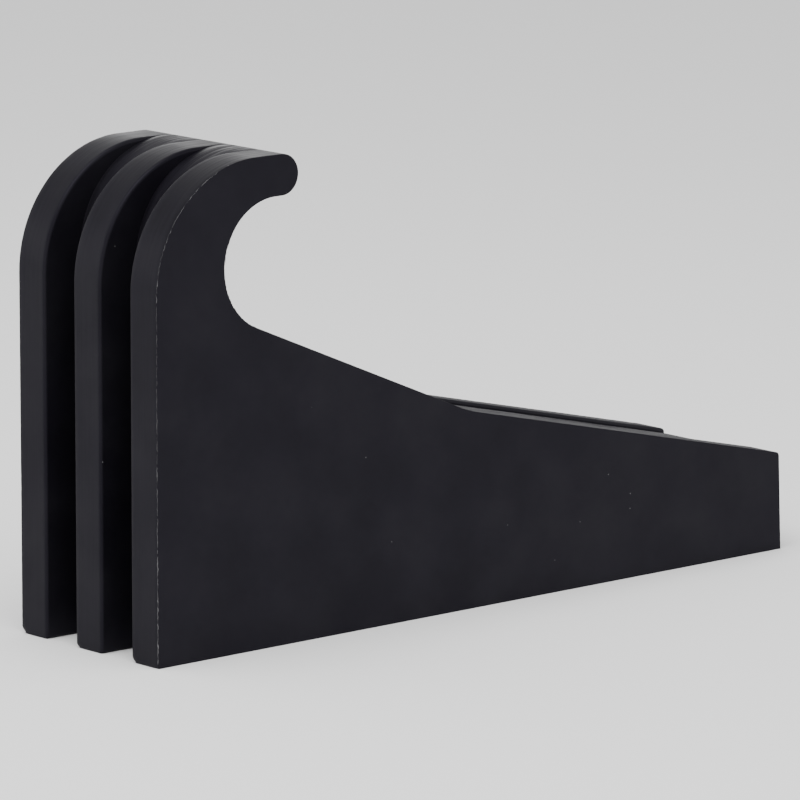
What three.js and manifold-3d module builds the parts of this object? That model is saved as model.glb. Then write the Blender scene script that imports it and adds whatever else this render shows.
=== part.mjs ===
// Leveling block: three profile plates with two profile-cut webs between them,
// held together by socket head screws. Millimetres, +Z up, +X from the heel to
// the toe, +Y from the near side to the far side. The origin is at the middle
// of the base.

import * as THREE from 'three';
import { mergeVertices } from 'three/addons/utils/BufferGeometryUtils.js';
import Module from 'manifold-3d';

const wasm = await Module();
wasm.setup();

// ---- Overall block -------------------------------------------------------
const length = 406.4;
const height = 234;
const toeHeight = 49.7;
const toeDraft = 2; // how far the top of the toe leans back
const toeRounding = 1.8;

// ---- Stack across the block ----------------------------------------------
const plateThickness = 19.05;
const channelWidth = 22.225;
const jointGap = 0.3; // between pieces that touch

// ---- Hook and seat, measured from the heel and the base ------------------
const rearRadius = 60.3;
const seatRadius = 31.5;
const seatFromHeel = 72.5;
const hookDepth = 19.6; // depth of the hook arm, and of the wall round the seat
const hookReach = 3.7; // how far the hook runs past the middle of the seat

// ---- Ramps -----------------------------------------------------------------
const bendFromHeel = 194;
const bendHeight = 97.6;
const bendRounding = 7;
const deckRecess = 2.3; // middle plate and webs below the outer plates' ramps

// ---- Webs ------------------------------------------------------------------
const toeFootLength = 45;
const toeFootFillet = 8;

// ---- Screws, washers, inserts and sleeves ----------------------------------
const screwRadius = 4;
const screwEndChamfer = 0.8;
const headRadius = 6.5;
const headHeight = 8;
const headChamfer = 0.5;
const headSetback = 1; // head below the far face
const hexAcrossFlats = 6;
const hexDepth = 4;
const washerRadius = 8;
const washerThickness = 1.6;
const insertRadius = 6;
const insertLength = 12.5;
const insertRidges = 20;
const ridgeDepth = 0.45;
const screwShortOfInsertEnd = 1.5;
const sleeveRadius = 10;
const holeClearance = 0.45; // screw in plates, webs, sleeves and washers
const counterboreClearance = 0.6;
const lowScrewFromHeel = 42;
const lowScrewHeight = 38;
const hookScrewAngle = THREE.MathUtils.degToRad(130);
const backScrewAngle = THREE.MathUtils.degToRad(205);

// ---- Values that follow ------------------------------------------------------
const width = 3 * plateThickness + 2 * channelWidth;
const nearInnerFace = plateThickness - width / 2;
const webThickness = channelWidth - 2 * jointGap;
const channelMiddle = (plateThickness + channelWidth) / 2;
const tipRadius = hookDepth / 2;
const seatCentre = new THREE.Vector2(seatFromHeel, height - hookDepth - seatRadius);
const wallRadius = seatRadius + hookDepth;
const screwHoleRadius = screwRadius + holeClearance;
const counterboreDepth = 2 * jointGap + washerThickness + headHeight + headSetback;
const counterboreFloor = width / 2 - counterboreDepth;
const roundSegments = 24;

const plastic = new THREE.MeshStandardMaterial({ color: 0x1c1c1f, roughness: 0.55, metalness: 0 });
const blackSteel = new THREE.MeshStandardMaterial({ color: 0x2a2a2c, roughness: 0.4, metalness: 0.9 });
const zincSteel = new THREE.MeshStandardMaterial({ color: 0xa9adb0, roughness: 0.35, metalness: 0.9 });
const brass = new THREE.MeshStandardMaterial({ color: 0xb08d4a, roughness: 0.35, metalness: 0.9 });

// ---- Ramp lines ----------------------------------------------------------------

// The ramp line of one piece, lowered by its recess: from the toe up to the
// bend, then tangent to a circle round the seat centre. `depth` moves the line
// into the block, square to itself, and the circle grows by the same amount.
function rampLine(recess, depth) {
  const toe = new THREE.Vector2(length - toeDraft, toeHeight - recess);
  const bend = new THREE.Vector2(bendFromHeel, bendHeight - recess);
  const toCentre = seatCentre.clone().sub(bend);
  const steepAngle = toCentre.angle() + Math.asin(seatRadius / toCentre.length());
  const steep = new THREE.Vector2(Math.cos(steepAngle), Math.sin(steepAngle));
  const shallow = bend.clone().sub(toe).normalize();
  const inwardSteep = new THREE.Vector2(-steep.y, steep.x);
  const inwardShallow = new THREE.Vector2(-shallow.y, shallow.x);
  const middle = inwardSteep.clone().add(inwardShallow).normalize();
  const bendDepth = depth / middle.dot(inwardSteep);
  return {
    toe: toe.clone().addScaledVector(inwardShallow, depth),
    bend: bend.clone().addScaledVector(middle, bendDepth),
    tangent: seatCentre.clone().addScaledVector(inwardSteep, seatRadius + depth),
    tangentAngle: inwardSteep.angle(),
    steep,
    shallow,
  };
}

// Runs a shape along a ramp line from its toe end to the seat, with a soft bend.
function drawRampUp(shape, line) {
  const before = line.bend.clone().addScaledVector(line.shallow, -bendRounding);
  const after = line.bend.clone().addScaledVector(line.steep, bendRounding);
  shape.lineTo(before.x, before.y);
  shape.quadraticCurveTo(line.bend.x, line.bend.y, after.x, after.y);
  shape.lineTo(line.tangent.x, line.tangent.y);
}

// The upright end of the toe with its rounded top corner, then the start of the
// ramp. The shape stands at the bottom of the toe.
function drawToe(shape, line) {
  const lean = new THREE.Vector2(-toeDraft, line.toe.y).normalize();
  const below = line.toe.clone().addScaledVector(lean, -toeRounding);
  const beyond = line.toe.clone().addScaledVector(line.shallow, toeRounding);
  shape.lineTo(below.x, below.y);
  shape.quadraticCurveTo(line.toe.x, line.toe.y, beyond.x, beyond.y);
}

// Seat, underside of the hook and its round tip, ending on the top face.
function drawSeatAndTip(shape, line) {
  const tipX = seatFromHeel + hookReach;
  shape.absarc(seatCentre.x, seatCentre.y, seatRadius, line.tangentAngle, Math.PI / 2, true);
  shape.absarc(tipX, height - tipRadius, tipRadius, -Math.PI / 2, Math.PI / 2, false);
}

function plateShape(recess) {
  const line = rampLine(recess, 0);
  const shape = new THREE.Shape();
  shape.moveTo(0, 0);
  shape.lineTo(length, 0);
  drawToe(shape, line);
  drawRampUp(shape, line);
  drawSeatAndTip(shape, line);
  shape.absarc(rearRadius, height - rearRadius, rearRadius, Math.PI / 2, Math.PI, false);
  shape.closePath();
  return shape;
}

// A web keeps the middle plate's ramps and seat and is a band of one depth
// under them, with a foot at the toe that reaches the base.
function webShape() {
  const line = rampLine(deckRecess, 0);
  const under = rampLine(deckRecess, hookDepth);
  const footX = length - toeFootLength;
  const underAtFoot = under.toe.y + (under.toe.x - footX) * (-under.shallow.y / under.shallow.x);
  const foot = new THREE.Vector2(footX, underAtFoot);
  const shape = new THREE.Shape();
  shape.moveTo(footX, 0);
  shape.lineTo(length, 0);
  drawToe(shape, line);
  drawRampUp(shape, line);
  drawSeatAndTip(shape, line);
  shape.absarc(seatCentre.x, seatCentre.y, wallRadius, Math.PI / 2, under.tangentAngle, false);
  shape.lineTo(under.bend.x, under.bend.y);
  shape.lineTo(foot.x + under.shallow.x * toeFootFillet, foot.y + under.shallow.y * toeFootFillet);
  shape.quadraticCurveTo(foot.x, foot.y, foot.x, foot.y - toeFootFillet);
  shape.closePath();
  return shape;
}

// ---- Screw places --------------------------------------------------------------

function roundSeat(angle) {
  const middleOfWall = seatRadius + hookDepth / 2;
  const outward = new THREE.Vector2(Math.cos(angle), Math.sin(angle));
  return seatCentre.clone().addScaledVector(outward, middleOfWall);
}

const bandMiddle = rampLine(deckRecess, hookDepth / 2);
const footStart = new THREE.Vector2(length - toeFootLength, 0);
const shallowRun = (bandMiddle.bend.x - footStart.x) / 2 / bandMiddle.shallow.x;
const screwPlaces = [
  { name: 'hook', at: roundSeat(hookScrewAngle), sleeved: false },
  { name: 'back', at: roundSeat(backScrewAngle), sleeved: false },
  { name: 'steep_ramp', at: bandMiddle.tangent.clone().lerp(bandMiddle.bend, 0.5), sleeved: false },
  {
    name: 'shallow_ramp',
    at: bandMiddle.bend.clone().addScaledVector(bandMiddle.shallow, -shallowRun),
    sleeved: false,
  },
  {
    name: 'toe',
    at: new THREE.Vector2(length - toeFootLength / 2, (toeHeight - deckRecess) / 2),
    sleeved: false,
  },
  { name: 'heel', at: new THREE.Vector2(lowScrewFromHeel, lowScrewHeight), sleeved: true },
  { name: 'middle', at: new THREE.Vector2(bendFromHeel, lowScrewHeight), sleeved: true },
];

// ---- Makers ----------------------------------------------------------------------

// Stands an extruded outline up in the block: its depth runs back from y to
// y - depth.
function upright(shape, depth, y) {
  const geometry = new THREE.ExtrudeGeometry(shape, {
    depth,
    bevelEnabled: false,
    curveSegments: roundSegments,
  });
  geometry.rotateX(Math.PI / 2);
  geometry.translate(-length / 2, y, 0);
  return geometry;
}

function circleHole(place, radius) {
  const hole = new THREE.Path();
  hole.absarc(place.x, place.y, radius, 0, 2 * Math.PI, true);
  return hole;
}

const weldDistance = 1e-4;

function toManifold(geometry) {
  const bare = geometry.clone();
  bare.deleteAttribute('normal');
  bare.deleteAttribute('uv');
  const welded = mergeVertices(bare, weldDistance);
  return new wasm.Manifold(
    new wasm.Mesh({
      numProp: 3,
      vertProperties: new Float32Array(welded.attributes.position.array),
      triVerts: new Uint32Array(welded.index.array),
    }),
  );
}

function fromManifold(solid) {
  const mesh = solid.getMesh();
  const geometry = new THREE.BufferGeometry();
  geometry.setAttribute('position', new THREE.BufferAttribute(mesh.vertProperties, 3));
  geometry.setIndex(new THREE.BufferAttribute(mesh.triVerts, 1));
  const flat = geometry.toNonIndexed();
  flat.computeVertexNormals();
  return flat;
}

// A round bar along Y through a screw place, used to cut a blind hole.
function cutter(place, radius, fromY, toY) {
  const bar = new THREE.CylinderGeometry(radius, radius, toY - fromY, roundSegments);
  bar.translate(place.x - length / 2, (fromY + toY) / 2, place.y);
  return toManifold(bar);
}

function cutFrom(geometry, cutters) {
  const solid = cutters.reduce((left, tool) => left.subtract(tool), toManifold(geometry));
  return fromManifold(solid);
}

// A round piece about Y from a closed profile of [radius, y] pairs.
function turned(profile) {
  return new THREE.LatheGeometry(profile.map(([r, y]) => new THREE.Vector2(r, y)), roundSegments);
}

function ring(innerRadius, outerRadius, depth) {
  return turned([
    [innerRadius, 0],
    [outerRadius, 0],
    [outerRadius, depth],
    [innerRadius, depth],
    [innerRadius, 0],
  ]);
}

const block = new THREE.Group();

function add(name, geometry, material, parent = block) {
  const mesh = new THREE.Mesh(geometry, material);
  mesh.name = name;
  parent.add(mesh);
  return mesh;
}

// ---- Plates ------------------------------------------------------------------------
const cutPast = 1; // cutters run this far out of a face

// Near plate: plain outside, blind holes for the inserts inside.
const insertHoleRadius = insertRadius + jointGap;
const insertHoleEnd = nearInnerFace - insertLength - 2 * jointGap;
const insertHoles = screwPlaces.map(({ at }) => {
  return cutter(at, insertHoleRadius, insertHoleEnd, nearInnerFace + cutPast);
});
const nearBlank = upright(plateShape(0), plateThickness, nearInnerFace);
add('near_plate', cutFrom(nearBlank, insertHoles), plastic);

// Middle plate: its ramps are lower, and the screws pass through it.
const middleShape = plateShape(deckRecess);
screwPlaces.forEach(({ at }) => middleShape.holes.push(circleHole(at, screwHoleRadius)));
add('middle_plate', upright(middleShape, plateThickness, plateThickness / 2), plastic);

// Far plate: clearance holes with counterbores for the heads outside.
const farShape = plateShape(0);
screwPlaces.forEach(({ at }) => farShape.holes.push(circleHole(at, screwHoleRadius)));
const counterboreRadius = washerRadius + counterboreClearance;
const counterbores = screwPlaces.map(({ at }) => {
  return cutter(at, counterboreRadius, counterboreFloor, width / 2 + cutPast);
});
const farBlank = upright(farShape, plateThickness, width / 2);
add('far_plate', cutFrom(farBlank, counterbores), plastic);

// ---- Webs --------------------------------------------------------------------------
const webOutline = webShape();
screwPlaces
  .filter(({ sleeved }) => !sleeved)
  .forEach(({ at }) => webOutline.holes.push(circleHole(at, screwHoleRadius)));
for (const [side, direction] of [['near', -1], ['far', 1]]) {
  const y = direction * channelMiddle + webThickness / 2;
  add(`${side}_web`, upright(webOutline, webThickness, y), plastic);
}

// ---- Screws, washers, inserts and sleeves --------------------------------------------
const washerSeat = counterboreFloor + jointGap;
const headSeat = washerSeat + washerThickness + jointGap;
const insertStart = nearInnerFace - jointGap - insertLength;
const screwLength = headSeat - insertStart - screwShortOfInsertEnd;

function screwGeometry() {
  const body = turned([
    [0, -screwLength],
    [screwRadius - screwEndChamfer, -screwLength],
    [screwRadius, screwEndChamfer - screwLength],
    [screwRadius, 0],
    [headRadius, 0],
    [headRadius, headHeight - headChamfer],
    [headRadius - headChamfer, headHeight],
    [0, headHeight],
  ]);
  const hexRadius = hexAcrossFlats / Math.sqrt(3);
  const socket = new THREE.CylinderGeometry(hexRadius, hexRadius, hexDepth + cutPast, 6);
  socket.translate(0, headHeight - (hexDepth - cutPast) / 2, 0);
  return fromManifold(toManifold(body).subtract(toManifold(socket)));
}

// A ribbed bush: ridges along its outside keep it from turning in the plastic.
function insertGeometry() {
  const shape = new THREE.Shape();
  const corners = 2 * insertRidges;
  for (let i = 0; i < corners; i += 1) {
    const angle = (i / corners) * 2 * Math.PI;
    const radius = i % 2 === 0 ? insertRadius : insertRadius - ridgeDepth;
    const [x, y] = [radius * Math.cos(angle), radius * Math.sin(angle)];
    if (i === 0) shape.moveTo(x, y);
    else shape.lineTo(x, y);
  }
  shape.closePath();
  shape.holes.push(circleHole(new THREE.Vector2(0, 0), screwRadius + jointGap));
  const geometry = new THREE.ExtrudeGeometry(shape, {
    depth: insertLength,
    bevelEnabled: false,
    curveSegments: roundSegments,
  });
  geometry.rotateX(Math.PI / 2);
  geometry.translate(0, insertLength, 0);
  return geometry;
}

for (const { name, at, sleeved } of screwPlaces) {
  const fastening = new THREE.Group();
  fastening.position.set(at.x - length / 2, 0, at.y);
  block.add(fastening);
  add(`screw_${name}`, screwGeometry(), blackSteel, fastening).position.y = headSeat;
  add(`washer_${name}`, ring(screwHoleRadius, washerRadius, washerThickness), zincSteel, fastening)
    .position.y = washerSeat;
  add(`insert_${name}`, insertGeometry(), brass, fastening).position.y = insertStart;
  if (sleeved) {
    for (const [side, direction] of [['near', -1], ['far', 1]]) {
      const sleeve = ring(screwHoleRadius, sleeveRadius, webThickness);
      add(`${side}_sleeve_${name}`, sleeve, plastic, fastening).position.y =
        direction * channelMiddle - webThickness / 2;
    }
  }
}

export default block;
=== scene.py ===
import math

import bmesh
import bpy
import numpy as np
from mathutils import Matrix, Vector, noise


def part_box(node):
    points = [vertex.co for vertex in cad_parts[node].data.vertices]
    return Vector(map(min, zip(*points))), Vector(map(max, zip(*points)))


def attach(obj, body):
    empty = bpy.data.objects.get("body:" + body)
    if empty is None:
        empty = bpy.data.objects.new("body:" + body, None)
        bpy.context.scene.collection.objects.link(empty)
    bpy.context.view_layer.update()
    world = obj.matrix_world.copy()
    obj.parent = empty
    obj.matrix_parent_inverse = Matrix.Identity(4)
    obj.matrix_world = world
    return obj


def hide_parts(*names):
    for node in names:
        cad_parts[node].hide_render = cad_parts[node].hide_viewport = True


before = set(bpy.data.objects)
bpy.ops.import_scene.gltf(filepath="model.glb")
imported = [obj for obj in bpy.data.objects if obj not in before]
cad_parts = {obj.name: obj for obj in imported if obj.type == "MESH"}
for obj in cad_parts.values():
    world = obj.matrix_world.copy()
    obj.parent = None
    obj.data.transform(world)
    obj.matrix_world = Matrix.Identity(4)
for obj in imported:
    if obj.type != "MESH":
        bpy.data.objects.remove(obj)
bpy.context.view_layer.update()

MM = 0.001


# ---- Profile plates ---------------------------------------------------------
# Three upright plates of black polyethylene with one outline: heel, round back, hook, seat
# and two ramps. The middle and far plates are rounded over on their near side, the other edges
# are only broken, and blind or through holes take the inserts and screws of the stack.

rear_radius = 60.3 * MM
seat_radius = 31.5 * MM
seat_from_heel = 72.5 * MM
hook_depth = 19.6 * MM
hook_reach = 3.7 * MM
bend_from_heel = 194 * MM
bend_height = 97.6 * MM
bend_rounding = 7 * MM
toe_height = 49.7 * MM
toe_draft = 2 * MM
toe_rounding = 1.8 * MM
heel_rounding = 0.9 * MM
deck_recess = 2.3 * MM
outline_step = 1.2 * MM
cap_margin = 4 * MM
wander_size = 3.2 * MM

block_low, block_high = (Vector(point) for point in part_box("near_plate"))
heel_x = block_low.x
toe_x = block_high.x
top_z = block_high.z
seat_centre = Vector((heel_x + seat_from_heel, top_z - hook_depth - seat_radius))
ramp_start = seat_centre.x + seat_radius
ramp_low = toe_height - 8 * MM


def arc(centre, radius, start, end):
    """Points of an arc in the X-Z plane; angles in radians, from start to end."""
    count = max(3, math.ceil(abs(end - start) * radius / outline_step))
    angles = [start + (end - start) * i / count for i in range(count + 1)]
    return [centre + radius * Vector((math.cos(a), math.sin(a))) for a in angles]


def corner(before, point, after):
    """A soft corner: a quadratic curve from before to after, pulled to point."""
    steps = [i / 6 for i in range(7)]
    return [before * (1 - t) ** 2 + point * (2 * t * (1 - t)) + after * t ** 2 for t in steps]


def ramp_line(recess, depth=0.0):
    """Toe corner and bend of a ramp line, lowered by recess and moved in by depth, and its directions."""
    toe = Vector((toe_x - toe_draft, toe_height - recess))
    bend = Vector((heel_x + bend_from_heel, bend_height - recess))
    to_centre = seat_centre - bend
    steep_angle = math.atan2(to_centre.y, to_centre.x) + math.asin(seat_radius / to_centre.length)
    steep = Vector((math.cos(steep_angle), math.sin(steep_angle)))
    shallow = (bend - toe).normalized()
    in_steep = Vector((-steep.y, steep.x))
    in_shallow = Vector((-shallow.y, shallow.x))
    middle = (in_steep + in_shallow).normalized()
    return {
        "toe": toe + in_shallow * depth,
        "bend": bend + middle * (depth / middle.dot(in_steep)),
        "angle": math.atan2(in_steep.y, in_steep.x) % (2 * math.pi),
        "steep": steep,
        "shallow": shallow,
    }


def top_side(line):
    """The outline from the toe up the ramps, round the seat and the hook's tip to the top."""
    lean = Vector((-toe_draft, line["toe"].y)).normalized()
    tip_radius = hook_depth / 2
    tip = Vector((seat_centre.x + hook_reach, top_z - tip_radius))
    points = corner(line["toe"] - lean * toe_rounding, line["toe"],
                    line["toe"] + line["shallow"] * toe_rounding)
    points += corner(line["bend"] - line["shallow"] * bend_rounding, line["bend"],
                     line["bend"] + line["steep"] * bend_rounding)
    points += arc(seat_centre, seat_radius, line["angle"], math.pi / 2)
    points += arc(tip, tip_radius, -math.pi / 2, math.pi / 2)
    return points


def plate_outline(recess):
    """A plate's outline, from the foot of the toe over the top to the foot of the heel."""
    base_heel = Vector((heel_x, 0))
    back_centre = Vector((heel_x + rear_radius, top_z - rear_radius))
    points = [Vector((toe_x, 0))] + top_side(ramp_line(recess))
    points += arc(back_centre, rear_radius, math.pi / 2, math.pi)
    points += corner(base_heel + Vector((0, heel_rounding)), base_heel,
                     base_heel + Vector((heel_rounding, 0)))
    return points


def close_set(points):
    """Drops doubled points, and adds points so that none lie more than a step apart."""
    dense = []
    for i, here in enumerate(points):
        after = points[(i + 1) % len(points)]
        gap = (after - here).length
        if gap < 0.02 * MM:
            continue
        count = math.ceil(gap / outline_step)
        dense += [here.lerp(after, k / count) for k in range(count)]
    return dense


def offset(points, depth):
    """The outline moved in by depth. Points that would fold over at a corner are spread along it."""
    path = np.array([tuple(point) for point in points])
    if depth < 0.01 * MM:
        return path
    back = path - np.roll(path, 1, axis=0)
    back /= np.linalg.norm(back, axis=1)[:, None]
    inward = np.stack([-back[:, 1], back[:, 0]], axis=1)
    ahead = np.roll(inward, -1, axis=0)
    moved = path + depth * (inward + ahead) / (1 + (inward * ahead).sum(axis=1))[:, None]
    start, run = path, np.roll(path, -1, axis=0) - path
    share = ((moved[:, None] - start) * run).sum(axis=2) / (run * run).sum(axis=1)
    nearest = start + np.clip(share, 0, 1)[:, :, None] * run
    clear = np.linalg.norm(moved[:, None] - nearest, axis=2).min(axis=1) > depth * 0.9995
    index = np.arange(len(path))
    spread = [np.interp(index, index[clear], moved[clear, k], period=len(path)) for k in (0, 1)]
    return np.stack(spread, axis=1)


def rounded_rings(near_y, far_y, near_round, far_round, steps=5):
    """Inset, Y, rim and wall of each ring from the near face to the far face, over both rounded edges."""
    quarter = [math.pi / 2 * i / steps for i in range(steps + 1)]
    rings = [(near_round + cap_margin, near_y, 0, 0)]
    rings += [(near_round * (1 - math.sin(a)), near_y + near_round * (1 - math.cos(a)), 1, math.sin(a))
              for a in quarter]
    between = [near_y + (far_y - near_y) * share for share in (0.13, 0.2, 0.5, 0.8, 0.87)]
    rings += [(0.0, y, 0, 1) for y in between]
    rings += [(far_round * (1 - math.cos(a)), far_y - far_round * (1 - math.sin(a)), 1, math.cos(a))
              for a in quarter]
    return rings + [(far_round + cap_margin, far_y, 0, 0)]


def loft_outline(name, outline, rings, ragged=0.0):
    """A closed solid: the outline at each ring's inset and Y. Its rims wander inwards by ragged."""
    mesh = bmesh.new()
    layers = [mesh.verts.layers.float.new(key) for key in ("rim", "wall", "along", "tread")]
    rim, wall, along, tread = layers
    steps = [(here - outline[i - 1]).length for i, here in enumerate(outline)]
    short_way = 0.5 * MM
    inward = (offset(outline, short_way) - offset(outline, 0.0)) / short_way
    loops = []
    for inset, y, on_rim, on_wall in rings:
        travelled = 0.0
        loop = []
        for (x, z), (in_x, in_z), step in zip(offset(outline, inset), inward, steps):
            travelled += step
            place = Vector((x, y * 3, z)) / wander_size
            wander = on_rim * ragged * max(0.0, noise.noise(place) + 0.6 * noise.noise(place * 3.1))
            vertex = mesh.verts.new((x + in_x * wander, y, z + in_z * wander))
            vertex[rim], vertex[wall], vertex[along] = float(on_rim), float(on_wall), travelled
            vertex[tread] = float(x > ramp_start and z > ramp_low) * on_wall
            loop.append(vertex)
        loops.append(loop)
    for one, two in zip(loops, loops[1:]):
        for i in range(len(outline)):
            j = (i + 1) % len(outline)
            mesh.faces.new((one[i], one[j], two[j], two[i])).smooth = True
    for cap in (loops[0], loops[-1]):
        mesh.faces.new(cap).smooth = False
    bmesh.ops.recalc_face_normals(mesh, faces=mesh.faces)
    return finished(name, mesh)


def knock_corner(piece, tip, inward, size):
    """Rounds off the box corner at tip; inward is the sign of the way into it along X, Y and Z."""
    centre = Vector(tip) + Vector(inward) * size
    for vertex in piece.data.vertices:
        out = Vector((centre[k] - vertex.co[k]) * inward[k] / size for k in range(3))
        if min(out) > 0 and out.length > 1:
            fade = min(out) ** 0.5
            shrunk = out * (1 + (1 / out.length - 1) * fade)
            vertex.co = Vector(centre[k] - shrunk[k] * inward[k] * size for k in range(3))


def finished(name, mesh):
    """Puts a bmesh in the scene as an object at the origin."""
    data = bpy.data.meshes.new(name)
    mesh.to_mesh(data)
    mesh.free()
    piece = bpy.data.objects.new(name, data)
    bpy.context.scene.collection.objects.link(piece)
    return piece


def baked(piece):
    """Applies the piece's modifiers, which leaves it a plain mesh."""
    result = bpy.data.meshes.new_from_object(piece.evaluated_get(bpy.context.evaluated_depsgraph_get()))
    piece.modifiers.clear()
    piece.data = result
    result.name = piece.name


def turned_bar(places, profile, sides=40):
    """Round bars about Y through the places; profile is a list of (radius, y) from end to end."""
    mesh = bmesh.new()
    for place in places:
        loops = []
        for radius, y in profile:
            turn = [2 * math.pi * i / sides for i in range(sides)]
            ring = [(place.x + radius * math.cos(a), y, place.z + radius * math.sin(a)) for a in turn]
            loops.append([mesh.verts.new(point) for point in ring])
        for one, two in zip(loops, loops[1:]):
            for i in range(sides):
                j = (i + 1) % sides
                mesh.faces.new((one[i], one[j], two[j], two[i])).smooth = True
        mesh.faces.new(loops[0])
        mesh.faces.new(loops[-1])
    bmesh.ops.recalc_face_normals(mesh, faces=mesh.faces)
    return mesh


crease_angle = math.radians(32)


def cut(piece, tool_mesh):
    """Cuts the tool out of the piece, drops the tool, and keeps the creases sharp and the faces flat."""
    tool = finished(piece.name + "_tool", tool_mesh)
    boolean = piece.modifiers.new("holes", "BOOLEAN")
    boolean.operation = "DIFFERENCE"
    boolean.solver = "EXACT"
    boolean.object = tool
    baked(piece)
    bpy.data.objects.remove(tool)
    piece.data.set_sharp_from_angle(angle=crease_angle)
    for face in piece.data.polygons:
        if abs(face.normal.y) > 0.9999:
            face.use_smooth = False


def node_in(tree, kind, **settings):
    """Adds a node with its settings; a key that names a socket sets that socket's value."""
    node = tree.nodes.new(kind)
    for key, value in settings.items():
        if key in node.inputs:
            node.inputs[key].default_value = value
        else:
            setattr(node, key, value)
    return node


def math_node(tree, operation, first, second=None, clamp=False):
    """A Math node's output; each operand is a number or a socket."""
    node = tree.nodes.new("ShaderNodeMath")
    node.operation = operation
    node.use_clamp = clamp
    for socket, value in zip(node.inputs, (first, second)):
        if isinstance(value, (int, float)):
            socket.default_value = value
        elif value is not None:
            tree.links.new(value, socket)
    return node.outputs[0]


def ranged(tree, value, low, high, to_low=0.0, to_high=1.0):
    """Value from low..high mapped to to_low..to_high, clamped."""
    node = node_in(tree, "ShaderNodeMapRange")
    for key, number in (("From Min", low), ("From Max", high), ("To Min", to_low), ("To Max", to_high)):
        node.inputs[key].default_value = number
    tree.links.new(value, node.inputs["Value"])
    return node.outputs[0]


def shader_group(name, inputs, outputs):
    """A shader node group with float inputs {name: default}, a Vector input, and float outputs."""
    group = bpy.data.node_groups.new(name, "ShaderNodeTree")
    group.interface.new_socket(name="Vector", in_out="INPUT", socket_type="NodeSocketVector")
    for key, default in inputs.items():
        socket = group.interface.new_socket(name=key, in_out="INPUT", socket_type="NodeSocketFloat")
        socket.default_value = default
    for key in outputs:
        group.interface.new_socket(name=key, in_out="OUTPUT", socket_type="NodeSocketFloat")
    return group, group.nodes.new("NodeGroupInput"), group.nodes.new("NodeGroupOutput")


def noise_at(tree, vector, scale, detail=3.0, rough=0.5):
    """A noise texture's value; scale is a number or a socket, in cells per metre."""
    node = node_in(tree, "ShaderNodeTexNoise", Detail=detail, Roughness=rough)
    tree.links.new(vector, node.inputs["Vector"])
    if isinstance(scale, (int, float)):
        node.inputs["Scale"].default_value = scale
    else:
        tree.links.new(scale, node.inputs["Scale"])
    return node.outputs[0]


def make_grain():
    """Fine matt grain with soft ripples, and long marks where the cutter ran along the outline."""
    inputs = {"Along": 0.0, "Wall": 0.0, "Grain Scale": 1900.0, "Drag": 0.4}
    tree, given, out = shader_group("sawn_grain", inputs, ("Height", "Sheen"))
    ripple_scale = 55.0
    patch_scale = 34.0
    marks_along = 16.0
    marks_across = 620.0
    fine = noise_at(tree, given.outputs["Vector"], given.outputs["Grain Scale"], 4.0, 0.62)
    ripple = noise_at(tree, given.outputs["Vector"], ripple_scale, 2.0)
    across = tree.nodes.new("ShaderNodeSeparateXYZ")
    tree.links.new(given.outputs["Vector"], across.inputs[0])
    strip = tree.nodes.new("ShaderNodeCombineXYZ")
    tree.links.new(math_node(tree, "MULTIPLY", given.outputs["Along"], marks_along), strip.inputs[0])
    tree.links.new(math_node(tree, "MULTIPLY", across.outputs[1], marks_across), strip.inputs[1])
    drag = noise_at(tree, strip.outputs[0], 1.0, 3.0, 0.6)
    dragged = math_node(tree, "MULTIPLY", math_node(tree, "SUBTRACT", drag, 0.5), given.outputs["Wall"])
    dragged = math_node(tree, "MULTIPLY", dragged, given.outputs["Drag"])
    height = math_node(tree, "MULTIPLY", fine, 0.55)
    height = math_node(tree, "ADD", height, math_node(tree, "MULTIPLY", ripple, 1.2))
    tree.links.new(math_node(tree, "ADD", height, dragged), out.inputs["Height"])
    patches = noise_at(tree, given.outputs["Vector"], patch_scale, 4.0, 0.6)
    tree.links.new(math_node(tree, "ADD", patches, dragged), out.inputs["Sheen"])
    return tree


def make_edge_wear():
    """Where a rounded edge has been rubbed or trimmed: broken patches along the rim attribute."""
    inputs = {"Rim": 0.0, "Amount": 0.5, "Patch Scale": 160.0}
    tree, given, out = shader_group("edge_wear", inputs, ("Mask",))
    patches = noise_at(tree, given.outputs["Vector"], given.outputs["Patch Scale"], 5.0, 0.7)
    threshold = math_node(tree, "SUBTRACT", 0.78, math_node(tree, "MULTIPLY", given.outputs["Amount"], 0.4))
    over = math_node(tree, "SUBTRACT", patches, threshold)
    sharp = math_node(tree, "MULTIPLY", over, 9.0, clamp=True)
    on_edge = ranged(tree, given.outputs["Rim"], 0.8, 1.0)
    tree.links.new(math_node(tree, "MULTIPLY", sharp, on_edge, clamp=True), out.inputs["Mask"])
    return tree


def make_dust():
    """Scattered pale specks a fraction of a millimetre across, with a faint film between them."""
    tree, given, out = shader_group("dust", {"Cells": 120.0, "Size": 0.028}, ("Specks", "Film"))
    cells = node_in(tree, "ShaderNodeTexVoronoi")
    tree.links.new(given.outputs["Vector"], cells.inputs["Vector"])
    tree.links.new(given.outputs["Cells"], cells.inputs["Scale"])
    pick = node_in(tree, "ShaderNodeSeparateColor")
    tree.links.new(cells.outputs["Color"], pick.inputs[0])
    empty_share = 0.7
    chosen = math_node(tree, "GREATER_THAN", pick.outputs[0], empty_share)
    size = math_node(tree, "MULTIPLY", given.outputs["Size"], math_node(tree, "ADD", pick.outputs[1], 0.4))
    near = math_node(tree, "LESS_THAN", cells.outputs["Distance"], size)
    tree.links.new(math_node(tree, "MULTIPLY", near, chosen), out.inputs["Specks"])
    film = noise_at(tree, given.outputs["Vector"], 18.0, 6.0, 0.65)
    tree.links.new(ranged(tree, film, 0.42, 0.75), out.inputs["Film"])
    return tree


grain = make_grain()
edge_wear = make_edge_wear()
dust = make_dust()


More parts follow.
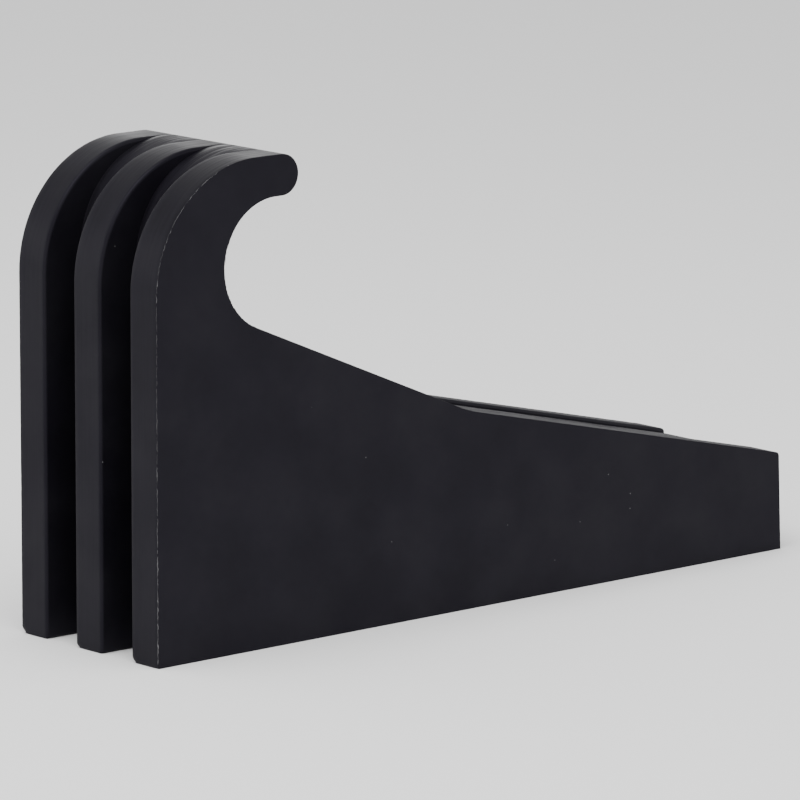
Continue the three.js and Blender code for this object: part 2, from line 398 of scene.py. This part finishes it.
def use_group(tree, group, **values):
    """Places a group; each value is a number or a socket, named as the input is."""
    node = tree.nodes.new("ShaderNodeGroup")
    node.node_tree = group
    for key, value in values.items():
        socket = node.inputs[key]
        if isinstance(value, (int, float)):
            socket.default_value = value
        else:
            tree.links.new(value, socket)
    return node


def mixed(tree, factor, first, second):
    """A colour between two; each is a socket or an RGB triple."""
    node = tree.nodes.new("ShaderNodeMix")
    node.data_type = "RGBA"
    tree.links.new(factor, node.inputs[0])
    for socket, value in ((node.inputs[6], first), (node.inputs[7], second)):
        if isinstance(value, tuple):
            socket.default_value = (*value, 1.0)
        else:
            tree.links.new(value, socket)
    return node.outputs[2]


def new_material(name):
    """A material with its node tree, its shader and the place on the piece."""
    material = bpy.data.materials.new(name)
    material.use_nodes = True
    tree = material.node_tree
    place = tree.nodes.new("ShaderNodeTexCoord").outputs["Object"]
    return material, tree, tree.nodes["Principled BSDF"], place


dust_grey = (0.10, 0.10, 0.104)
film_grey = (0.05, 0.05, 0.052)
film_share = 0.08
worn_grey = (0.03, 0.03, 0.032)
worn_roughness = 0.15
tread_roughness = 0.24


def black_plastic(name, black, grey, wear, drag=1.5, gloss=(0.35, 0.46)):
    """Black polyethylene: matt grain, cloudy sheen, rubbed edges, dust."""
    material, tree, shader, place = new_material(name)
    rim, wall, along, tread = (node_in(tree, "ShaderNodeAttribute", attribute_name=key).outputs["Fac"]
                               for key in ("rim", "wall", "along", "tread"))
    surface = use_group(tree, grain, Vector=place, Along=along, Wall=wall, Drag=drag)
    rubbed = use_group(tree, edge_wear, Vector=place, Rim=rim, Amount=wear)
    specks = use_group(tree, dust, Vector=place)
    clouds = ranged(tree, surface.outputs["Sheen"], 0.25, 0.75)
    colour = mixed(tree, clouds, black, grey)
    film = math_node(tree, "MULTIPLY", specks.outputs["Film"], film_share)
    colour = mixed(tree, film, colour, film_grey)
    colour = mixed(tree, rubbed.outputs["Mask"], colour, worn_grey)
    colour = mixed(tree, specks.outputs["Specks"], colour, dust_grey)
    tree.links.new(colour, shader.inputs["Base Color"])
    rough = ranged(tree, surface.outputs["Sheen"], 0.25, 0.75, *gloss)
    scuffed = math_node(tree, "MULTIPLY", rubbed.outputs["Mask"], worn_roughness)
    rough = math_node(tree, "ADD", rough, scuffed)
    trodden = math_node(tree, "MULTIPLY", tread, tread_roughness)
    rough = math_node(tree, "ADD", rough, trodden, clamp=True)
    tree.links.new(rough, shader.inputs["Roughness"])
    bump = node_in(tree, "ShaderNodeBump", Strength=0.35, Distance=0.08 * MM)
    tree.links.new(surface.outputs["Height"], bump.inputs["Height"])
    tree.links.new(bump.outputs[0], shader.inputs["Normal"])
    shader.inputs["Specular IOR Level"].default_value = 0.085
    shader.inputs["Specular Tint"].default_value = (0.84, 0.79, 1.0, 1.0)
    return material


screw_names = ("hook", "back", "steep_ramp", "shallow_ramp", "toe", "heel", "middle")


def middle_of(node):
    """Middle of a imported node's box."""
    low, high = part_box(node)
    return (Vector(low) + Vector(high)) / 2


screw_places = [middle_of("screw_" + name) for name in screw_names]
screw_hole = 4.45 * MM
hole_chamfer = 0.5 * MM
insert_hole = 6.3 * MM
counterbore = 8.6 * MM
floor_clearance = 0.3 * MM
past = 2 * MM


def screw_hole_profile(near_y, far_y):
    """A plain hole for a screw, chamfered at both ends."""
    wide = screw_hole + hole_chamfer + past
    return [(wide, near_y - past), (screw_hole, near_y + hole_chamfer),
            (screw_hole, far_y - hole_chamfer), (wide, far_y + past)]


def insert_hole_profile(near_y, far_y):
    """A blind hole for an insert, chamfered at its mouth at far_y; it doesn't reach near_y."""
    floor_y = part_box("insert_hook")[0][1] - floor_clearance
    mouth = insert_hole + hole_chamfer
    return [(insert_hole, floor_y), (insert_hole, far_y - hole_chamfer), (mouth, far_y),
            (mouth + past, far_y + past)]


def counterbore_profile(near_y, far_y):
    """A hole for a screw, counterbored for its head and washer on the far side."""
    floor_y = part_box("washer_hook")[0][1] - floor_clearance
    return [*screw_hole_profile(near_y, far_y)[:2], (screw_hole, floor_y), (counterbore, floor_y),
            (counterbore, far_y - hole_chamfer), (counterbore + hole_chamfer + past, far_y + past)]


plate_plastic = black_plastic("black_plate_plastic", (0.0046, 0.0042, 0.0061), (0.0066, 0.0060, 0.0086),
                              wear=0.22)
plate_specs = {
    "near_plate": {"recess": 0.0, "near": 0.25 * MM, "far": 0.5 * MM, "ragged": 0.04 * MM,
                   "knock": 2.3 * MM, "hole": insert_hole_profile},
    "middle_plate": {"recess": deck_recess, "near": 1.5 * MM, "far": 0.5 * MM, "ragged": 0.05 * MM,
                     "knock": 1.9 * MM, "hole": screw_hole_profile},
    "far_plate": {"recess": 0.0, "near": 1.5 * MM, "far": 0.3 * MM, "ragged": 0.1 * MM,
                  "knock": 2.6 * MM, "hole": counterbore_profile},
}
near_knock_share = 0.35
for node, spec in plate_specs.items():
    low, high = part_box(node)
    outline = close_set(plate_outline(spec["recess"]))
    rings = rounded_rings(low[1], high[1], spec["near"], spec["far"])
    plate = loft_outline(node.replace("_plate", "_profile_plate"), outline, rings, spec["ragged"])
    knock_corner(plate, (heel_x, high[1], 0.0), (1, -1, 1), spec["knock"])
    knock_corner(plate, (heel_x, low[1], 0.0), (1, 1, 1), near_knock_share * spec["knock"])
    cut(plate, turned_bar(screw_places, spec["hole"](low[1], high[1])))
    plate.data.materials.clear()
    plate.data.materials.append(plate_plastic)
    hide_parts(node)
    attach(plate, "root")


# ---- Webs -------------------------------------------------------------------
# Two profile-cut fillers of the same sheet, one in each channel. Each is a band of one depth
# that closes the hook, backs the seat and carries the ramps, and ends in a foot at the toe.

web_edge = 0.3 * MM
web_grip = 0.28 * MM
foot_length = 45 * MM
foot_fillet = 8 * MM


def web_outline():
    """A web's outline: the ramps, seat and hook above, and a line one hook's depth inside them."""
    line = ramp_line(deck_recess)
    under = ramp_line(deck_recess, hook_depth)
    foot_x = toe_x - foot_length
    drop = (under["toe"].x - foot_x) * -under["shallow"].y / under["shallow"].x
    foot = Vector((foot_x, under["toe"].y + drop))
    points = [Vector((foot_x, 0)), Vector((toe_x, 0))] + top_side(line)
    points += arc(seat_centre, seat_radius + hook_depth, math.pi / 2, under["angle"])
    points += [under["bend"]]
    points += corner(foot + under["shallow"] * foot_fillet, foot, foot - Vector((0, foot_fillet)))
    return points


web_ragged = 0.05 * MM
web_plastic = black_plastic("black_web_plastic", (0.0046, 0.0042, 0.0061), (0.0080, 0.0072, 0.0100),
                            wear=0.2, drag=3.0, gloss=(0.29, 0.56))
in_web = [place for place, name in zip(screw_places, screw_names) if name not in ("heel", "middle")]
for node in ("near_web", "far_web"):
    low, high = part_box(node)
    rings = rounded_rings(low[1] - web_grip, high[1] + web_grip, web_edge, web_edge, steps=3)
    web = loft_outline(node.replace("_web", "_channel_web"), close_set(web_outline()), rings, web_ragged)
    cut(web, turned_bar(in_web, screw_hole_profile(low[1], high[1])))
    web.data.materials.clear()
    web.data.materials.append(web_plastic)
    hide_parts(node)
    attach(web, "root")


# ---- Trimmed flash on the near plate ----------------------------------------
# The outer near edge was trimmed after cutting. What is left is a broken thread of plastic
# along the heel and the round of the hook, a few tenths of a millimetre thick. Its pale colour
# is a painted highlight, where the trimmed edge catches the light.

def geometry_tree(name, inputs):
    """A geometry node tree with float inputs {name: default} and its in and out nodes."""
    tree = bpy.data.node_groups.new(name, "GeometryNodeTree")
    tree.interface.new_socket(name="Geometry", in_out="INPUT", socket_type="NodeSocketGeometry")
    for key, default in inputs.items():
        socket = tree.interface.new_socket(name=key, in_out="INPUT", socket_type="NodeSocketFloat")
        socket.default_value = default
    tree.interface.new_socket(name="Geometry", in_out="OUTPUT", socket_type="NodeSocketGeometry")
    return tree, tree.nodes.new("NodeGroupInput"), tree.nodes.new("NodeGroupOutput")


def run_tree(piece, tree, **values):
    """Runs a geometry tree on a piece, with inputs set by identifier, and bakes the result."""
    modifier = piece.modifiers.new(tree.name, "NODES")
    modifier.node_group = tree
    for item in tree.interface.items_tree:
        key = item.name.replace(" ", "_").lower()
        if item.in_out == "INPUT" and key in values:
            modifier[item.identifier] = values[key]
    baked(piece)


def chain(tree, *steps):
    """Links geometry through a row of nodes, output 0 to input 0."""
    for before, after in zip(steps, steps[1:]):
        tree.links.new(before.outputs[0], after.inputs[0])


def flash_tree(material):
    """A thin broken thread along the piece's edges: torn, shaken, then swept thick and thin."""
    inputs = {"Step": 0.4 * MM, "Thickness": 0.1 * MM, "Keep": 0.5, "Wander": 1.0 * MM}
    tree, given, out = geometry_tree("flash_thread", inputs)
    link = tree.links.new
    to_curve = tree.nodes.new("GeometryNodeMeshToCurve")
    resample = node_in(tree, "GeometryNodeResampleCurve", mode="LENGTH")
    link(given.outputs["Step"], resample.inputs["Length"])
    threads = tree.nodes.new("GeometryNodeCurveToMesh")
    place = tree.nodes.new("GeometryNodeInputPosition")
    gaps = node_in(tree, "ShaderNodeTexNoise", Scale=110.0, Detail=3.0, Roughness=0.6)
    link(place.outputs[0], gaps.inputs["Vector"])
    missing = node_in(tree, "FunctionNodeCompare", operation="GREATER_THAN")
    link(gaps.outputs[0], missing.inputs[0])
    link(given.outputs["Keep"], missing.inputs[1])
    broken = node_in(tree, "GeometryNodeDeleteGeometry", domain="EDGE")
    link(missing.outputs[0], broken.inputs["Selection"])
    wander = node_in(tree, "ShaderNodeTexNoise", Scale=700.0, Detail=2.0)
    link(place.outputs[0], wander.inputs["Vector"])
    centred = node_in(tree, "ShaderNodeVectorMath", operation="SUBTRACT")
    centred.inputs[1].default_value = (0.5, 0.5, 0.5)
    link(wander.outputs["Color"], centred.inputs[0])
    small = node_in(tree, "ShaderNodeVectorMath", operation="SCALE")
    link(given.outputs["Wander"], small.inputs["Scale"])
    link(centred.outputs[0], small.inputs[0])
    shift = tree.nodes.new("GeometryNodeSetPosition")
    link(small.outputs[0], shift.inputs["Offset"])
    again = tree.nodes.new("GeometryNodeMeshToCurve")
    bead = node_in(tree, "ShaderNodeTexNoise", Scale=330.0, Detail=3.0, Roughness=0.65)
    link(place.outputs[0], bead.inputs["Vector"])
    swell = math_node(tree, "POWER", math_node(tree, "MULTIPLY", bead.outputs[0], 2.0), 3.0)
    thick = math_node(tree, "MULTIPLY", math_node(tree, "MINIMUM", swell, 3.5), given.outputs["Thickness"])
    above = tree.nodes.new("ShaderNodeSeparateXYZ")
    link(place.outputs[0], above.inputs[0])
    thick = math_node(tree, "MULTIPLY", thick, ranged(tree, above.outputs[2], 25 * MM, 70 * MM, 1.7, 1.0))
    ring = node_in(tree, "GeometryNodeCurvePrimitiveCircle", Resolution=6, Radius=1.0)
    sweep = tree.nodes.new("GeometryNodeCurveToMesh")
    link(ring.outputs[0], sweep.inputs["Profile Curve"])
    link(thick, sweep.inputs["Scale"])
    sweep.inputs["Fill Caps"].default_value = True
    solid = tree.nodes.new("GeometryNodeRealizeInstances")
    paint = tree.nodes.new("GeometryNodeSetMaterial")
    paint.inputs["Material"].default_value = material
    chain(tree, given, to_curve, resample, threads, broken, shift, again, sweep, solid, paint, out)
    return tree


def pale_thread():
    """Pale and matt, darker in patches: the pale colour is a painted highlight of the trimmed edge."""
    material, tree, shader, place = new_material("whitened_flash")
    patches = noise_at(tree, place, 700.0, 3.0, 0.6)
    # Painted highlight: the thread's pale colour, in patches, stands in for light on the trimmed edge.
    colour = mixed(tree, ranged(tree, patches, 0.35, 0.65), (0.03, 0.03, 0.033), (0.10, 0.10, 0.104))
    tree.links.new(colour, shader.inputs["Base Color"])
    tree.links.new(ranged(tree, patches, 0.3, 0.7, 0.55, 0.75), shader.inputs["Roughness"])
    return material


flash_inset = 0.06 * MM
flash_foot = 1.5 * MM
flash_end = math.radians(112)
near_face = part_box("near_plate")[0][1]
edge_path = offset(close_set(plate_outline(0.0)), flash_inset)
path = bmesh.new()
last = None
for x, z in edge_path:
    on_heel = x < heel_x + rear_radius and z > flash_foot
    turned = math.atan2(z - (top_z - rear_radius), x - (heel_x + rear_radius))
    here = None
    if on_heel and (z < top_z - rear_radius or turned > flash_end):
        here = path.verts.new((x, near_face + flash_inset, z))
    if last and here:
        path.edges.new((last, here))
    last = here
flash = finished("heel_flash", path)
run_tree(flash, flash_tree(pale_thread()), step=0.4 * MM, thickness=0.08 * MM, keep=0.9, wander=1.0 * MM)
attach(flash, "root")


# ---- Spacer sleeves -----------------------------------------------------------
# Four turned plastic bushes keep the plates apart on the two low screws, where a channel is
# open. Each has chamfered ends and the fine rings that the lathe tool left.

def turned_piece(profile, sides, radius_at=lambda r, a, y: r):
    """Loops of points about Y at the origin from (radius, y) pairs, in a new bmesh."""
    mesh = bmesh.new()
    loops = []
    for radius, y in profile:
        loop = []
        for i in range(sides):
            a = 2 * math.pi * i / sides
            r = radius_at(radius, a, y)
            loop.append(mesh.verts.new((r * math.cos(a), y, r * math.sin(a))))
        loops.append(loop)
    return mesh, loops


def joined_loops(mesh, loops, closed):
    """Faces between the loops, which close into a ring or are capped at both ends."""
    pairs = list(zip(loops, loops[1:])) + ([(loops[-1], loops[0])] if closed else [])
    for one, two in pairs:
        for i in range(len(one)):
            j = (i + 1) % len(one)
            mesh.faces.new((one[i], one[j], two[j], two[i])).smooth = True
    if not closed:
        mesh.faces.new(loops[0])
        mesh.faces.new(loops[-1])
    bmesh.ops.recalc_face_normals(mesh, faces=mesh.faces)
    return mesh


def at_places_tree(name, template, material):
    """Sets one copy of the template on each point of the piece."""
    tree, given, out = geometry_tree(name, {"Size": 1.0})
    shape = node_in(tree, "GeometryNodeObjectInfo")
    shape.inputs["Object"].default_value = template
    copies = tree.nodes.new("GeometryNodeInstanceOnPoints")
    tree.links.new(shape.outputs["Geometry"], copies.inputs["Instance"])
    tree.links.new(given.outputs["Size"], copies.inputs["Scale"])
    solid = tree.nodes.new("GeometryNodeRealizeInstances")
    paint = tree.nodes.new("GeometryNodeSetMaterial")
    paint.inputs["Material"].default_value = material
    chain(tree, given, copies, solid, paint, out)
    return tree


def copies_on(name, places, template_mesh, material, sharp=35):
    """One piece made of the template at every place."""
    template = finished(name + "_template", template_mesh)
    points = bmesh.new()
    for place in places:
        points.verts.new(place)
    piece = finished(name, points)
    run_tree(piece, at_places_tree(name + "_set", template, material), size=1.0)
    piece.data.set_sharp_from_angle(angle=math.radians(sharp))
    bpy.data.objects.remove(template)
    return piece


sleeve_nodes = ("near_sleeve_heel", "far_sleeve_heel", "near_sleeve_middle", "far_sleeve_middle")
sleeve_low, sleeve_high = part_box(sleeve_nodes[0])
sleeve_radius = (sleeve_high[0] - sleeve_low[0]) / 2
sleeve_half = (sleeve_high[1] - sleeve_low[1]) / 2 + web_grip
sleeve_chamfer = 0.8 * MM
ring_pitch = 0.7 * MM
ring_depth = 0.04 * MM
barrel = [(sleeve_radius - sleeve_chamfer, -sleeve_half)]
ring_count = int(2 * (sleeve_half - sleeve_chamfer) / ring_pitch)
for i in range(ring_count + 1):
    y = -sleeve_half + sleeve_chamfer + i * ring_pitch
    barrel += [(sleeve_radius, y), (sleeve_radius - ring_depth, y + ring_pitch / 2)]
barrel += [(sleeve_radius - sleeve_chamfer, sleeve_half), (screw_hole + hole_chamfer, sleeve_half),
           (screw_hole, sleeve_half - hole_chamfer), (screw_hole, hole_chamfer - sleeve_half),
           (screw_hole + hole_chamfer, -sleeve_half)]
sleeve_mesh, sleeve_loops = turned_piece(barrel, sides=48)
sleeve_plastic = black_plastic("black_sleeve_plastic", (0.005, 0.005, 0.0055), (0.009, 0.009, 0.0098),
                               wear=0.2, drag=0.1, gloss=(0.32, 0.45))
sleeves = copies_on("spacer_sleeves", [middle_of(node) for node in sleeve_nodes],
                    joined_loops(sleeve_mesh, sleeve_loops, closed=True), sleeve_plastic, sharp=40)
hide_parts(*sleeve_nodes)
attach(sleeves, "root")


# ---- Socket screws --------------------------------------------------------------
# Seven black-oxide socket head screws go in from the far side, each with a knurled head set
# below the face, a hexagon socket, a plain shank and a rolled thread at its end.

head_radius = 6.5 * MM
head_height = 8 * MM
head_chamfer = 0.7 * MM
crown_in = 0.25 * MM
crown_down = 0.2 * MM
knurl_count = 36
knurl_depth = 0.16 * MM
knurl_start = 0.61 * MM
socket_flats = 6 * MM
socket_depth = 4 * MM
socket_chamfer = 0.35 * MM
socket_mouth = 1.12
shank_radius = 4 * MM
thread_pitch = 1.25 * MM
thread_depth = 0.6 * MM
thread_length = 26 * MM
thread_chamfer = 0.5 * MM
thread_step = thread_pitch / 5
thread_runout = 1 * MM
screw_low, screw_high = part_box("screw_hook")
screw_middle_y = (screw_low[1] + screw_high[1]) / 2
end_y = screw_low[1] - screw_middle_y
head_top = screw_high[1] - screw_middle_y
head_seat = head_top - head_height


def hexagon(angle):
    """Radius of the socket's hexagon at an angle."""
    part = (angle + math.pi / 6) % (math.pi / 3) - math.pi / 6
    return socket_flats / 2 / math.cos(part)


def screw_radius_at(radius, angle, y):
    """Radius with the thread near the end and the knurl round the head."""
    in_thread = y < end_y + thread_length and radius < shank_radius * 1.01
    if in_thread and y > end_y + 0.8 * thread_chamfer:
        turn = (angle / (2 * math.pi) + y / thread_pitch) % 1
        return radius - thread_depth * abs(2 * turn - 1)
    knurl_from = head_seat + 0.99 * knurl_start
    if radius > head_radius * 0.999 and knurl_from < y < head_top - head_chamfer * 0.99:
        return radius - knurl_depth * (0.5 + 0.5 * math.cos(knurl_count * angle))
    return radius


profile = [(shank_radius - thread_depth, end_y)]
profile += [(shank_radius, end_y + thread_chamfer + i * thread_step)
            for i in range(int(thread_length / thread_step))]
profile += [(shank_radius, end_y + thread_length + thread_runout), (shank_radius, head_seat),
            (head_radius, head_seat), (head_radius, head_seat + knurl_start),
            (head_radius, head_top - head_chamfer), (head_radius - crown_in, head_top - crown_down),
            (head_radius - head_chamfer, head_top)]
screw_sides = 72
screw_mesh, screw_loops = turned_piece(profile, screw_sides, screw_radius_at)
for grow, y in ((socket_mouth, head_top), (1.0, head_top - socket_chamfer), (1.0, head_top - socket_depth)):
    loop = []
    for i in range(screw_sides):
        a = 2 * math.pi * i / screw_sides
        reach = grow * hexagon(a)
        loop.append(screw_mesh.verts.new((reach * math.cos(a), y, reach * math.sin(a))))
    screw_loops.append(loop)


def black_oxide():
    """Black oxide on steel: dark, faintly brown, oily, with brighter rubbed spots."""
    material, tree, shader, place = new_material("black_oxide_steel")
    patches = noise_at(tree, place, 420.0, 4.0, 0.6)
    colour = mixed(tree, ranged(tree, patches, 0.35, 0.7), (0.016, 0.016, 0.017), (0.05, 0.047, 0.045))
    tree.links.new(colour, shader.inputs["Base Color"])
    tree.links.new(ranged(tree, patches, 0.3, 0.7, 0.28, 0.46), shader.inputs["Roughness"])
    shader.inputs["Metallic"].default_value = 0.85
    fine = noise_at(tree, place, 5200.0, 3.0)
    bump = node_in(tree, "ShaderNodeBump", Strength=0.2, Distance=0.02 * MM)
    tree.links.new(fine, bump.inputs["Height"])
    tree.links.new(bump.outputs[0], shader.inputs["Normal"])
    return material


screws = copies_on("socket_screws", screw_places, joined_loops(screw_mesh, screw_loops, closed=False),
                   black_oxide())
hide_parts(*("screw_" + name for name in screw_names))
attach(screws, "root")


# ---- Washers and inserts ------------------------------------------------------------
# A flat zinc washer lies under each head. At the other end the thread bites in a brass
# insert with a knurled barrel, pressed into a blind hole in the near plate's inner face.

def plated(name, dark, bright, gloss):
    """Plated or bare metal with a cloudy surface and fine turning marks."""
    material, tree, shader, place = new_material(name)
    patches = noise_at(tree, place, 300.0, 4.0, 0.6)
    tree.links.new(mixed(tree, ranged(tree, patches, 0.3, 0.7), dark, bright), shader.inputs["Base Color"])
    tree.links.new(ranged(tree, patches, 0.3, 0.7, *gloss), shader.inputs["Roughness"])
    shader.inputs["Metallic"].default_value = 0.95
    marks = node_in(tree, "ShaderNodeTexWave", Scale=900.0, Distortion=1.5)
    tree.links.new(place, marks.inputs["Vector"])
    bump = node_in(tree, "ShaderNodeBump", Strength=0.15, Distance=0.02 * MM)
    tree.links.new(marks.outputs["Fac"], bump.inputs["Height"])
    tree.links.new(bump.outputs[0], shader.inputs["Normal"])
    return material


washer_low, washer_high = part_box("washer_hook")
washer_radius = (washer_high[0] - washer_low[0]) / 2
washer_half = (washer_high[1] - washer_low[1]) / 2
soft = 0.25 * MM
washer_section = [
    (screw_hole, -washer_half + soft), (screw_hole + soft, -washer_half),
    (washer_radius - soft, -washer_half), (washer_radius, -washer_half + soft),
    (washer_radius, washer_half - soft), (washer_radius - soft, washer_half),
    (screw_hole + soft, washer_half), (screw_hole, washer_half - soft),
]
washer_mesh, washer_loops = turned_piece(washer_section, sides=48)
zinc = plated("zinc_plate", (0.42, 0.43, 0.44), (0.62, 0.64, 0.66), (0.26, 0.42))
washers = copies_on("flat_washers", [middle_of("washer_" + name) for name in screw_names],
                    joined_loops(washer_mesh, washer_loops, closed=True), zinc, sharp=60)
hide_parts(*("washer_" + name for name in screw_names))
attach(washers, "root")

insert_low, insert_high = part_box("insert_hook")
insert_radius = (insert_high[0] - insert_low[0]) / 2
insert_half = (insert_high[1] - insert_low[1]) / 2
thread_clearance = 0.3 * MM
insert_bore = shank_radius + thread_clearance
ridge_count = 20
ridge_depth = 0.45 * MM
waist = 0.9 * MM


def insert_radius_at(radius, angle, y):
    """Radius with the grip ridges on the two full bands of the barrel."""
    if radius < insert_radius * 0.999:
        return radius
    return radius - ridge_depth * (0.5 - 0.5 * math.cos(ridge_count * angle))


insert_section = [
    (insert_bore, -insert_half), (insert_radius - waist, -insert_half),
    (insert_radius, waist - insert_half), (insert_radius, -waist),
    (insert_radius - waist, -waist / 2), (insert_radius - waist, waist / 2),
    (insert_radius, waist), (insert_radius, insert_half - waist),
    (insert_radius - waist, insert_half), (insert_bore, insert_half),
]
insert_mesh, insert_loops = turned_piece(insert_section, sides=80, radius_at=insert_radius_at)
brass = plated("turned_brass", (0.42, 0.28, 0.10), (0.62, 0.44, 0.18), (0.22, 0.38))
inserts = copies_on("threaded_inserts", [middle_of("insert_" + name) for name in screw_names],
                    joined_loops(insert_mesh, insert_loops, closed=True), brass, sharp=40)
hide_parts(*("insert_" + name for name in screw_names))
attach(inserts, "root")


# ---- Floor, light and camera --------------------------------------------------------
# A plain pale floor under soft white light from all round, with a large soft light above and
# behind the heel, and a long lens a little above the block.

floor_size = 12.0
floor_mesh = bmesh.new()
bmesh.ops.create_grid(floor_mesh, x_segments=1, y_segments=1, size=floor_size / 2)
floor = finished("floor", floor_mesh)
floor_paint, floor_tree, floor_shader, floor_place = new_material("pale_floor")
floor_cloud = noise_at(floor_tree, floor_place, 3.0)
floor_tree.links.new(mixed(floor_tree, floor_cloud, (0.90, 0.90, 0.902), (0.92, 0.92, 0.922)),
                     floor_shader.inputs["Base Color"])
floor_shader.inputs["Roughness"].default_value = 0.9
floor_shader.inputs["Specular IOR Level"].default_value = 0.085
floor.data.materials.append(floor_paint)

world = bpy.data.worlds.new("soft_white")
world.use_nodes = True
sky = world.node_tree
height_up = sky.nodes.new("ShaderNodeSeparateXYZ")
sky.links.new(sky.nodes.new("ShaderNodeTexCoord").outputs["Generated"], height_up.inputs[0])
fade = sky.nodes.new("ShaderNodeValToRGB")
fade.color_ramp.interpolation = "EASE"
for share, level in ((0.24, 1.0), (0.5, 0.42), (0.8, 0.26)):
    stop = fade.color_ramp.elements.new(share)
    stop.color = (level, level, level, 1.0)
fade.color_ramp.elements[0].color = (1.0, 1.0, 1.0, 1.0)
fade.color_ramp.elements[-1].color = (0.3, 0.3, 0.3, 1.0)
sky.links.new(height_up.outputs[2], fade.inputs[0])
sky.links.new(fade.outputs[0], sky.nodes["Background"].inputs["Color"])
sky.nodes["Background"].inputs["Strength"].default_value = 2.3
bpy.context.scene.world = world


def soft_light(name, place, target, size, power):
    """A rectangular area light at place, aimed at target; size in metres, power in watts."""
    lamp = bpy.data.lights.new(name, "AREA")
    lamp.shape = "RECTANGLE"
    lamp.size, lamp.size_y = size
    lamp.energy = power
    holder = bpy.data.objects.new(name, lamp)
    aim = Vector(target) - Vector(place)
    holder.matrix_world = Matrix.Translation(place) @ aim.to_track_quat("-Z", "Y").to_matrix().to_4x4()
    bpy.context.scene.collection.objects.link(holder)


soft_light("overhead_softbox", (-0.6, -0.3, 1.9), (0.0, 0.0, 0.1), (1.8, 1.8), 46.0)

camera_place = Vector((-2.0684, -2.3211, 0.6885))
camera_turn = math.radians(41.587)
camera_tilt = math.radians(10.818)
camera_roll = math.radians(0.118)
lens = bpy.data.cameras.new("long_lens")
lens.sensor_width = 36.0
lens.lens = 292.5
lens.clip_end = 50.0
camera = bpy.data.objects.new("camera", lens)
turn = Matrix.Rotation(-camera_turn, 4, "Z") @ Matrix.Rotation(math.pi / 2 - camera_tilt, 4, "X")
camera.matrix_world = Matrix.Translation(camera_place) @ turn @ Matrix.Rotation(camera_roll, 4, "Z")
bpy.context.scene.collection.objects.link(camera)
bpy.context.scene.camera = camera
